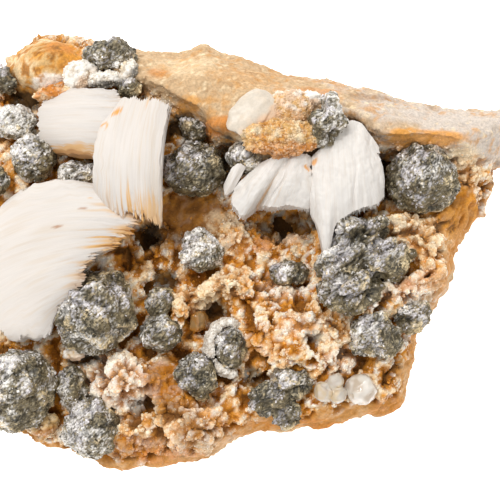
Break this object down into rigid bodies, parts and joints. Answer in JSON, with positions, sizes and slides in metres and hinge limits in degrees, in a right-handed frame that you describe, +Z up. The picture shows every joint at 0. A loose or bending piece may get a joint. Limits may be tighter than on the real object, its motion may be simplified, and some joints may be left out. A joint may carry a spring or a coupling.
{
  "type": "cerussite specimen",
  "caption": "Mineral hand specimen: sprays and fans of white cerussite blades with dark galena lumps on a sandy, iron-stained matrix, lying on its flat cut back.",
  "frame": {"origin": "middle of the specimen's box, on the flat cut back that it rests on", "axes": "+X to the specimen's right along its longest side, +Y to the far edge with the tan ledge, +Z up out of the crystal face"},
  "size_m": [0.082, 0.0645, 0.0264],
  "materials": {
    "sandy_matrix": "rough sandy rock with iron stains and sugary crust",
    "white_cerussite": "silky fibrous crystal",
    "dark_galena": "lumpy, with small bright facets",
    "pale_rind": "pale crystalline crust",
    "clear_crystal": "clear to cloudy crystal"
  },
  "bodies": {
    "root": {"matrix": "sandy_matrix", "cerussite_sheaves": "white_cerussite", "cerussite_fan_middle": "white_cerussite", "cerussite_fan_right": "white_cerussite", "cerussite_blade": "white_cerussite", "galena_left_rim": "dark_galena", "galena_far_left": "dark_galena", "galena_left": "dark_galena", "galena_left_edge": "dark_galena", "galena_between_sheaves": "dark_galena", "galena_far_edge": "dark_galena", "galena_by_ledge": "dark_galena", "galena_middle": "dark_galena", "galena_under_ledge": "dark_galena", "galena_by_blade": "dark_galena", "galena_ledge": "dark_galena", "galena_right": "dark_galena", "galena_centre_right": "dark_galena", "galena_lower_right": "dark_galena", "galena_under_crest": "dark_galena", "galena_small_middle": "dark_galena", "galena_big_left": "dark_galena", "galena_beside_big": "dark_galena", "galena_near_left": "dark_galena", "galena_near_edge": "dark_galena", "galena_near_middle": "dark_galena", "galena_in_rind": "dark_galena", "galena_near_right": "dark_galena", "galena_hollow": "dark_galena", "pale_rind": "pale_rind", "clear_crystal": "clear_crystal", "pale_crystal": "clear_crystal", "amber_crystal": "clear_crystal"}
  },
  "joints": []
}
